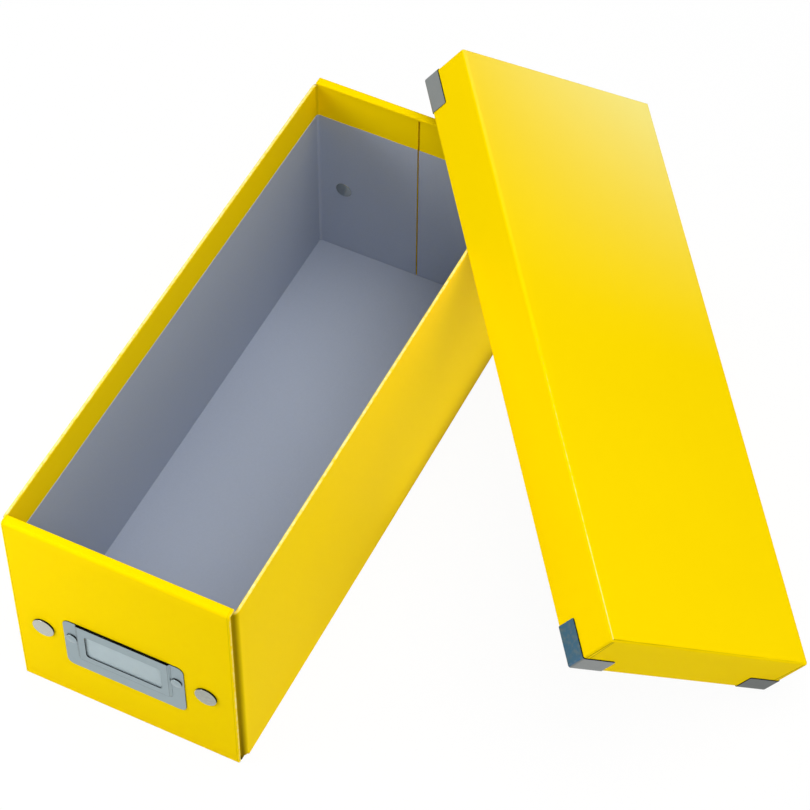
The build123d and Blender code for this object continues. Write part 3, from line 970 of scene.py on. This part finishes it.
def lean():
    """Where the lid stands: its turn, and a shift that fits it over the lid's lining."""
    lid, sizes = bpy.context.scene.lid_place, bpy.context.scene.board_sizes
    turn = (Matrix.Rotation(lid.turn, 3, "Z") @ Matrix.Rotation(lid.pitch, 3, "X")
            @ Matrix.Rotation(lid.roll, 3, "Y"))
    reach = lid.width / 2 - sizes.board
    under = lid.height - sizes.board
    corners = [turn @ Vector((x, y, z)) for x in (-reach, reach)
               for y in (sizes.board, lid.depth - sizes.board)
               for z in (under - sizes.lining, under)]
    shift = [LID_LINING_LOW[axis] - min(corner[axis] for corner in corners)
             for axis in range(3)]
    return Matrix.Translation(shift) @ turn.to_4x4()


def lid_ring(inset, z, least=0.15 * MM, steps=5, along=10):
    """Closed outline of the lid at a depth inside its outer face, at a height."""
    lid, sizes = bpy.context.scene.lid_place, bpy.context.scene.board_sizes
    half = lid.width / 2 - inset
    radius = max(sizes.lid_corner_round - inset, least)
    outline = rectangle(-half, half, inset, lid.depth - inset, radius, steps, along)
    return [(x, y, z) for x, y in outline]


class STORAGE_OT_lid(Operator):
    """Build the lid's wrapped boards as one shell"""
    bl_idname = "storage.lid"
    bl_label = "Lid"

    def execute(self, context):
        sizes, lid = context.scene.board_sizes, context.scene.lid_place
        board, rim, fold = sizes.board, sizes.rim_round, sizes.lid_top_round
        under, top = lid.height - board, lid.height
        half, core = lid.width / 2, lid.width / 2 - 0.2 * MM
        # From the middle of the ceiling out, down the inside, round the rim, up the outside,
        # over the fold, and in to the middle of the top
        rings = [lid_ring(inset, under) for inset in (core, 45 * MM, 20 * MM, 6 * MM)]
        rings += [lid_ring(board, z) for z in (under, 22 * MM, 11 * MM)]
        rings += [lid_ring(inset, z) for inset, z in
                  arc(board - rim, rim, rim, 0, -90) + arc(rim, rim, rim, -90, -180)]
        rings += [lid_ring(0.0, z) for z in (8 * MM, 16 * MM, 25 * MM)]
        rings += [lid_ring(inset, z) for inset, z in
                  arc(fold, top - fold, fold, 180, 90, 8)]
        sag, fold_shown = 0.35 * MM, 1.2 * MM
        for share in (0.08, 0.2, 0.4, 0.6, 0.8, 1.0):
            rings.append(lid_ring(fold + (core - fold) * share,
                                  top - sag * math.sin(math.pi / 2 * share) ** 2))
        # The paper is rubbed along the ridge in the middle of a fold
        ridge, rubbed, lapped = fold * (1 - math.sqrt(0.5)), 0.38 * MM, 0.45 * MM

        def wear(point):
            """Handling rubs the side ridges near the front, the upright corners and the rim."""
            along_side = near(half - abs(point.x), ridge, rubbed)
            at_ridge = near(top - point.z, ridge, rubbed)
            handled = max(0.0, 1.0 - point.y / (0.75 * lid.depth))
            upright = (near(abs(point.x), half, 0.8 * MM)
                       * near(min(point.y, lid.depth - point.y), 0, 0.8 * MM))
            return max(1.3 * handled * at_ridge * along_side, 0.5 * upright,
                       0.8 * near(point.z, 0, 0.7 * MM))

        def seam(point):
            """The ends' paper is lapped over the top edge, and its edge shows as a line."""
            over = near(min(point.y, lid.depth - point.y), ridge, lapped)
            uneven = 0.32 - 0.2 * point.x / half + 0.12 * math.sin(point.x / (4 * MM))
            return uneven * over * near(top - point.z, ridge, lapped)

        def painted_sheen(point):
            """Painted sheen: the top is paler from its middle towards the far right."""
            if point.z < top - fold_shown:
                return 0.0
            along = max(0.0, point.y / lid.depth - 0.5) / 0.5
            return along ** 2 * (0.67 + 0.48 * point.x / half)

        keep_flats(make_piece(
            "lid_shell", [{"rings": rings, "fan": True}], "lid", [cover_paper()],
            ["lid_top", "lid_right_side", "lid_left_side", "lid_near_end", "lid_far_end"],
            place=lean(), marks={"wear": wear, "seam": seam, "painted_sheen": painted_sheen}))
        self.lap_paper(lid, sizes.lid_corner_round, top - fold)
        return {"FINISHED"}

    def lap_paper(self, lid, radius, high):
        """Lap the long sides' paper round the upright corners onto the ends."""
        proud, line, inner = 0.06 * MM, 0.55 * MM, radius + 0.1 * MM
        foot, wander = 0.6 * MM, 0.03 * MM

        def outer_at(z):
            """Where the strip's cut edge is: it narrows towards the top."""
            return 5.1 * MM - 2.4 * MM * z / high

        lofts = []
        for side in (-1, 1):
            for end in (-1, 1):
                rings = []
                for step in range(13):
                    z = foot + (high - foot) * step / 12
                    # The cut edge of the paper isn't quite straight
                    outer = outer_at(z) + wander * math.sin(step * 2.3 + side + end)
                    across = (inner, inner + line, inner + 1.15 * line, outer - 1.15 * line,
                              outer - line, outer)
                    level = (0.2, 1.0, 1.0, 1.0, 1.0, 0.2)
                    ring = [(inner, -0.3)] + list(zip(across, level)) + [(outer, -0.3)]
                    rings.append([(side * (lid.width / 2 - x),
                                   -proud * y if end < 0 else lid.depth + proud * y, z)
                                  for x, y in ring])
                lofts.append({"rings": rings})

        def seam(point):
            """A dark line along each edge of the strip."""
            inward = lid.width / 2 - abs(point.x)
            first, second = inner + 1.08 * line, outer_at(point.z) - 1.08 * line
            return 0.6 if inward < first or inward > second else 0.0

        make_piece("paper_laps", lofts, "lid", [cover_paper()], place=lean(),
                   marks={"seam": seam})


class STORAGE_OT_lid_lining(Operator):
    """Give the lid's lining its paper"""
    bl_idname = "storage.lid_lining"
    bl_label = "Lid lining"

    def execute(self, context):
        paper_lining("lid_lining")
        return {"FINISHED"}


class STORAGE_OT_lid_corners(Operator):
    """Bend the four sheet metal corners over the lid's rim"""
    bl_idname = "storage.lid_corners"
    bl_label = "Lid corners"

    def execute(self, context):
        sizes, boards, lid = (context.scene.fitting_sizes, context.scene.board_sizes,
                              context.scene.lid_place)
        sheet, leg, high = sizes.sheet, sizes.corner_leg, sizes.corner_height
        rim, board = boards.rim_round, boards.board
        # The skin of the sheet stays just inside the CAD's
        skin, bend = 0.92 * sheet, rim + 0.72 * sheet
        middle = bend - skin
        # Section of the sheet's outer side: depth inside the lid's outer face, and height
        section = [(-skin, z) for z in (high, high - 0.3 * MM, high - 0.6 * MM,
                                        high - 0.9 * MM, 8 * MM, 5 * MM, 2.5 * MM)]
        section += arc(middle, middle, bend, 180, 270, 6)
        section += arc(board - middle, middle, bend, -90, 0, 6)
        section += [(board + skin, z) for z in (2.2 * MM, 3.2 * MM, sizes.corner_return)]
        half, end_round, shade_band = lid.width / 2, 0.9 * MM, 0.25 * MM

        def leg_end(z):
            """Length of a leg at a height: its upper corner is rounded off."""
            over = max(0.0, z - (high - end_round)) / end_round
            return leg - end_round * (1 - math.sqrt(max(0.0, 1 - over * over)))

        rings = []
        for inset, z in section:
            radius = max(boards.lid_corner_round - inset, 0.25 * MM)
            x_side, y_side = half - inset, inset
            end = leg_end(z)
            ring = [(half - end, y_side, z)]
            ring += run((half - end, y_side, z), (x_side - radius, y_side, z), 5)
            ring += [(x, y, z) for x, y in arc(x_side - radius, y_side + radius, radius, -90, 0)]
            ring += run((x_side, y_side + radius, z), (x_side, end, z), 5)
            ring += [(x_side, end, z)]
            rings.append(ring)
        for name, sign, far in (("near_right", 1, False), ("near_left", -1, False),
                                ("far_right", 1, True), ("far_left", -1, True)):
            placed = [[(sign * x, lid.depth - y if far else y, z) for x, y, z in ring]
                      for ring in rings]
            facing = Vector((sign, 1 if far else -1, -0.2))

            def painted_reflection_and_shade(point, name=name):
                """Painted reflection: only the near left corner has it, dark blue on its leg
                along the lid.
                """
                return (min(1.0, 1.6 * near(point.x, -half - sheet, 0.6 * MM))
                        if name == "near_left" else 0.0)

            # A band along the sheet's top edge takes the dark cut edge, painted near black as
            # shade
            piece = make_piece(f"{name}_metal_corner",
                               [{"rings": placed, "closed": False, "capped": False}], "lid",
                               [corner_steel(shaded_copy=name == "near_right"), cut_edge_and_shade()],
                               [f"lid_{name}_corner"], place=lean(), facing=facing,
                               marks={"painted_reflection_and_shade": painted_reflection_and_shade},
                               second=lambda point: point.z > high - shade_band)
            sheet_metal(piece, skin, 0.03 * MM)
        return {"FINISHED"}


# Studio

# Soft boxes: name, place, aim, width and height in metres, power in watts, and whether
# metal shows it. The last one stands in for the light that comes back from the table
# under the lid.
MIDDLE = (0.1, 0.0, 0.05)
LAMPS = (
    ("Key", (-0.27, -0.40, 0.26), MIDDLE, (0.2, 0.2), 0.75, True),
    ("Left", (-0.8, -0.45, 0.6), MIDDLE, (0.5, 0.5), 1.9, True),
    ("Front", (0.5, -0.7, 1.25), MIDDLE, (0.5, 0.5), 3.6, False),
    ("Right", (1.4, -0.35, 0.7), MIDDLE, (1.4, 1.4), 7.3, False),
    ("Top", (0.35, 0.3, 2.0), MIDDLE, (1.6, 1.6), 21.0, False),
    ("Far left", (-0.6, 0.45, 0.8), (0.02, 0.22, 0.17), (0.3, 0.3), 1.8, False),
    ("Table", (0.165, 0.13, 0.001), (0.165, 0.13, 1.0), (0.17, 0.26), 0.165, False),
)
WORLD_LIGHT = 0.2


class STORAGE_OT_stage(Operator):
    """Set the floor, the lights and the camera"""
    bl_idname = "storage.stage"
    bl_label = "Stage"

    def execute(self, context):
        scene = context.scene
        scene.view_settings.view_transform = "Standard"
        self.add_floor(scene)
        self.add_world(scene)
        for lamp in LAMPS:
            self.add_lamp(*lamp)
        self.add_camera(scene)
        return {"FINISHED"}

    def add_camera(self, scene):
        """Long lens, in front of the box and to its right, looking down on it."""
        data = bpy.data.cameras.new("Camera")
        data.sensor_width = 36.0
        data.lens = 125.05
        data.shift_x, data.shift_y = -0.0032, -0.0011
        data.clip_start, data.clip_end = 0.05, 30.0
        camera = put_in_scene("Camera", data)
        right = Vector((0.89831, 0.4393, 0.00808))
        up = Vector((-0.34854, 0.70128, 0.62188))
        back = Vector((0.26752, -0.56145, 0.78307))
        turn = Matrix((right, up, back)).transposed()
        camera.matrix_world = (Matrix.Translation((0.46725, -0.82248, 1.25807))
                               @ turn.to_4x4())
        scene.camera = camera

    def add_floor(self, scene):
        """Matt pale floor. The camera sees it near white, with the box's shadow kept."""
        material = bpy.data.materials.new("matt studio floor")
        tree = empty_tree(material)
        matt = add_node(tree, "ShaderNodeBsdfDiffuse",
                        {"Color": tuple(scene.box_colours.floor) + (1.0,)})
        white = add_node(tree, "ShaderNodeEmission", {"Strength": 1.02})
        rays = add_node(tree, "ShaderNodeLightPath")
        seen = add_node(tree, "ShaderNodeMath", {"operation": "MAXIMUM"},
                        {0: rays.outputs["Is Camera Ray"], 1: rays.outputs["Is Glossy Ray"]})
        share = add_node(tree, "ShaderNodeMath", {"operation": "MULTIPLY", 1: 0.93},
                         {0: seen.outputs[0]})
        mixed = add_node(tree, "ShaderNodeMixShader", links={
            0: share.outputs[0], 1: matt.outputs["BSDF"], 2: white.outputs["Emission"]})
        add_node(tree, "ShaderNodeOutputMaterial", links={"Surface": mixed.outputs["Shader"]})
        mesh = bmesh.new()
        bmesh.ops.create_grid(mesh, x_segments=1, y_segments=1, size=6.0)
        data = finished_mesh("Floor", mesh)
        data.materials.append(material)
        floor = put_in_scene("Floor", data)
        floor.location.z = -0.2 * MM

    def add_world(self, scene):
        """White to the camera, even light on paper, and in metal white that falls off right."""
        world = bpy.data.worlds.new("Studio")
        scene.world = world
        tree = empty_tree(world)
        rays = add_node(tree, "ShaderNodeLightPath")
        way = add_node(tree, "ShaderNodeSeparateXYZ", links={
            "Vector": add_node(tree, "ShaderNodeTexCoord").outputs["Generated"]})
        shown = add_node(tree, "ShaderNodeMapRange",
                         {"From Min": -1.0, "To Min": 1.25, "To Max": 0.55},
                         {"Value": way.outputs["X"]})
        mirrored = add_node(tree, "ShaderNodeMath", {"operation": "MAXIMUM"}, {
            0: rays.outputs["Is Glossy Ray"], 1: rays.outputs["Is Transmission Ray"]})
        strength = add_node(tree, "ShaderNodeMix", {"data_type": "FLOAT", 2: WORLD_LIGHT},
                            {0: mirrored.outputs[0], 3: shown.outputs["Result"]})
        strength = add_node(tree, "ShaderNodeMix", {"data_type": "FLOAT", 3: 1.0},
                            {0: rays.outputs["Is Camera Ray"], 2: strength.outputs[0]})
        light = add_node(tree, "ShaderNodeBackground", {"Color": (1.0, 1.0, 1.0, 1.0)},
                         {"Strength": strength.outputs[0]})
        add_node(tree, "ShaderNodeOutputWorld", links={"Surface": light.outputs["Background"]})

    def add_lamp(self, name, place, aim, size, power, in_metal):
        """Soft box turned towards its aim."""
        data = bpy.data.lights.new(name, "AREA")
        data.shape = "RECTANGLE"
        data.size, data.size_y = size
        data.energy = power
        lamp = put_in_scene(name, data)
        lamp.visible_glossy = in_metal
        lamp.visible_camera = False
        lamp.location = place
        lamp.rotation_euler = (Vector(aim) - Vector(place)).to_track_quat("-Z", "Y").to_euler()


OPERATORS = (
    STORAGE_OT_walls, STORAGE_OT_base, STORAGE_OT_linings, STORAGE_OT_panels,
    STORAGE_OT_studs, STORAGE_OT_rivets, STORAGE_OT_label_holder, STORAGE_OT_label_card,
    STORAGE_OT_lid, STORAGE_OT_lid_lining, STORAGE_OT_lid_corners, STORAGE_OT_stage,
)
GROUPS = {"board_sizes": BoardSizes, "lid_place": LidPlace, "fitting_sizes": FittingSizes,
          "box_colours": Colours}


class STORAGE_PT_pieces(Panel):
    """Lists the sizes, the colours and the pieces"""
    bl_idname = "STORAGE_PT_pieces"
    bl_label = "Storage box"
    bl_space_type = "VIEW_3D"
    bl_region_type = "UI"
    bl_category = "Storage box"

    def draw(self, context):
        for group in GROUPS:
            box = self.layout.box()
            settings = getattr(context.scene, group)
            for name in settings.bl_rna.properties.keys():
                if name not in ("rna_type", "name"):
                    box.prop(settings, name)
        for operator in OPERATORS:
            self.layout.operator(operator.bl_idname)


def register():
    for group in GROUPS.values():
        bpy.utils.register_class(group)
    for name, group in GROUPS.items():
        setattr(bpy.types.Scene, name, PointerProperty(type=group))
    for operator in (*OPERATORS, STORAGE_PT_pieces):
        bpy.utils.register_class(operator)


def unregister():
    for operator in (STORAGE_PT_pieces, *reversed(OPERATORS)):
        bpy.utils.unregister_class(operator)
    for name, group in GROUPS.items():
        delattr(bpy.types.Scene, name)
        bpy.utils.unregister_class(group)


def main():
    register()
    for operator in OPERATORS:
        section, name = operator.bl_idname.split(".")
        getattr(getattr(bpy.ops, section), name)()


if __name__ == "__main__":
    main()
